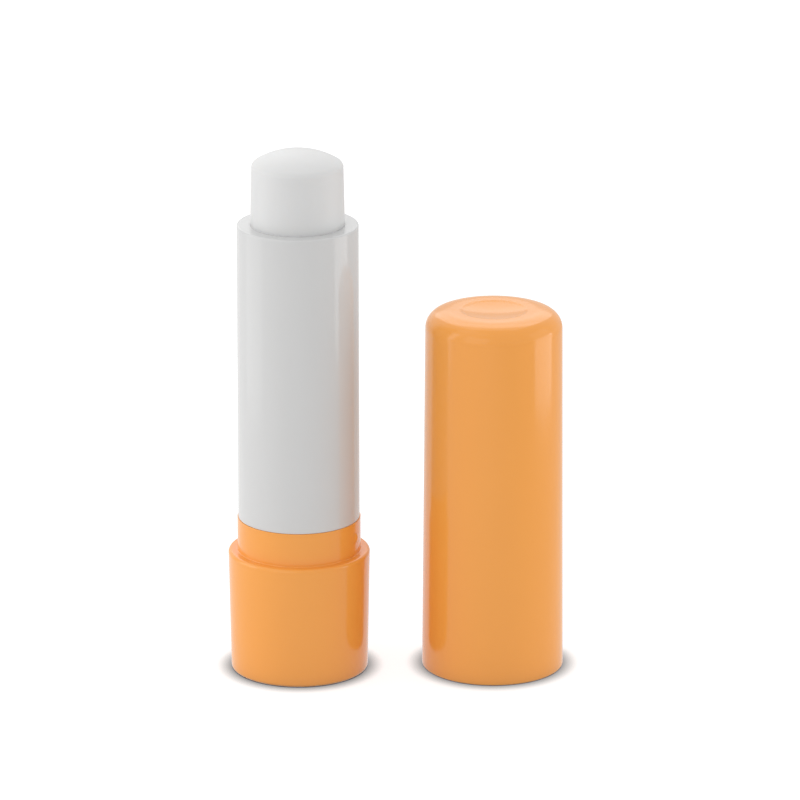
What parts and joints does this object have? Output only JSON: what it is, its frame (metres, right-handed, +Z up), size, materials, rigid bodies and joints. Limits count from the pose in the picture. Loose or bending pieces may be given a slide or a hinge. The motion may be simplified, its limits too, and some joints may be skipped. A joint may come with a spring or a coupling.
{
  "type": "lip balm stick",
  "caption": "Twist-up lip balm stick with a stepped dial base, a plain barrel, a domed balm on a lead screw, and a cylindrical cap with a dished crown standing beside it.",
  "frame": {"origin": "on the stick's axis, at the surface that its foot stands on", "axes": "+Z up along the stick towards the balm's tip, +X from the stick towards the cap, -Y towards the viewer"},
  "size_m": [0.045, 0.02, 0.0719],
  "materials": {
    "orange_plastic": "semi-gloss moulded plastic, soft orange",
    "white_plastic": "semi-gloss moulded plastic, white",
    "inner_plastic": "plain moulded plastic, natural white",
    "balm_wax": "smooth cast wax, white with a soft sheen"
  },
  "bodies": {
    "base": {"base": "orange_plastic", "spindle": "inner_plastic"},
    "barrel": {"barrel": "white_plastic"},
    "carrier": {"carrier": "inner_plastic", "balm": "balm_wax"},
    "cap": {"cap": "orange_plastic"}
  },
  "joints": [
    {"name": "barrel_twist", "type": "hinge", "parent": "base", "child": "barrel", "pos_m": [0, 0, 0], "axis": [0, 0, -1], "range_deg": [-999, 2781]},
    {"name": "carrier_lift", "type": "slide", "parent": "barrel", "child": "carrier", "axis": [0, 0, 1], "range_m": [-0.0111, 0.0309]},
    {"name": "cap_lift", "type": "slide", "parent": "base", "child": "cap", "axis": [0, 0, 1], "range_m": [0, 0.05]}
  ],
  "couplings": [
    {"joint": "barrel_twist", "follows": "carrier_lift", "rad_per_m": 1570.8}
  ]
}
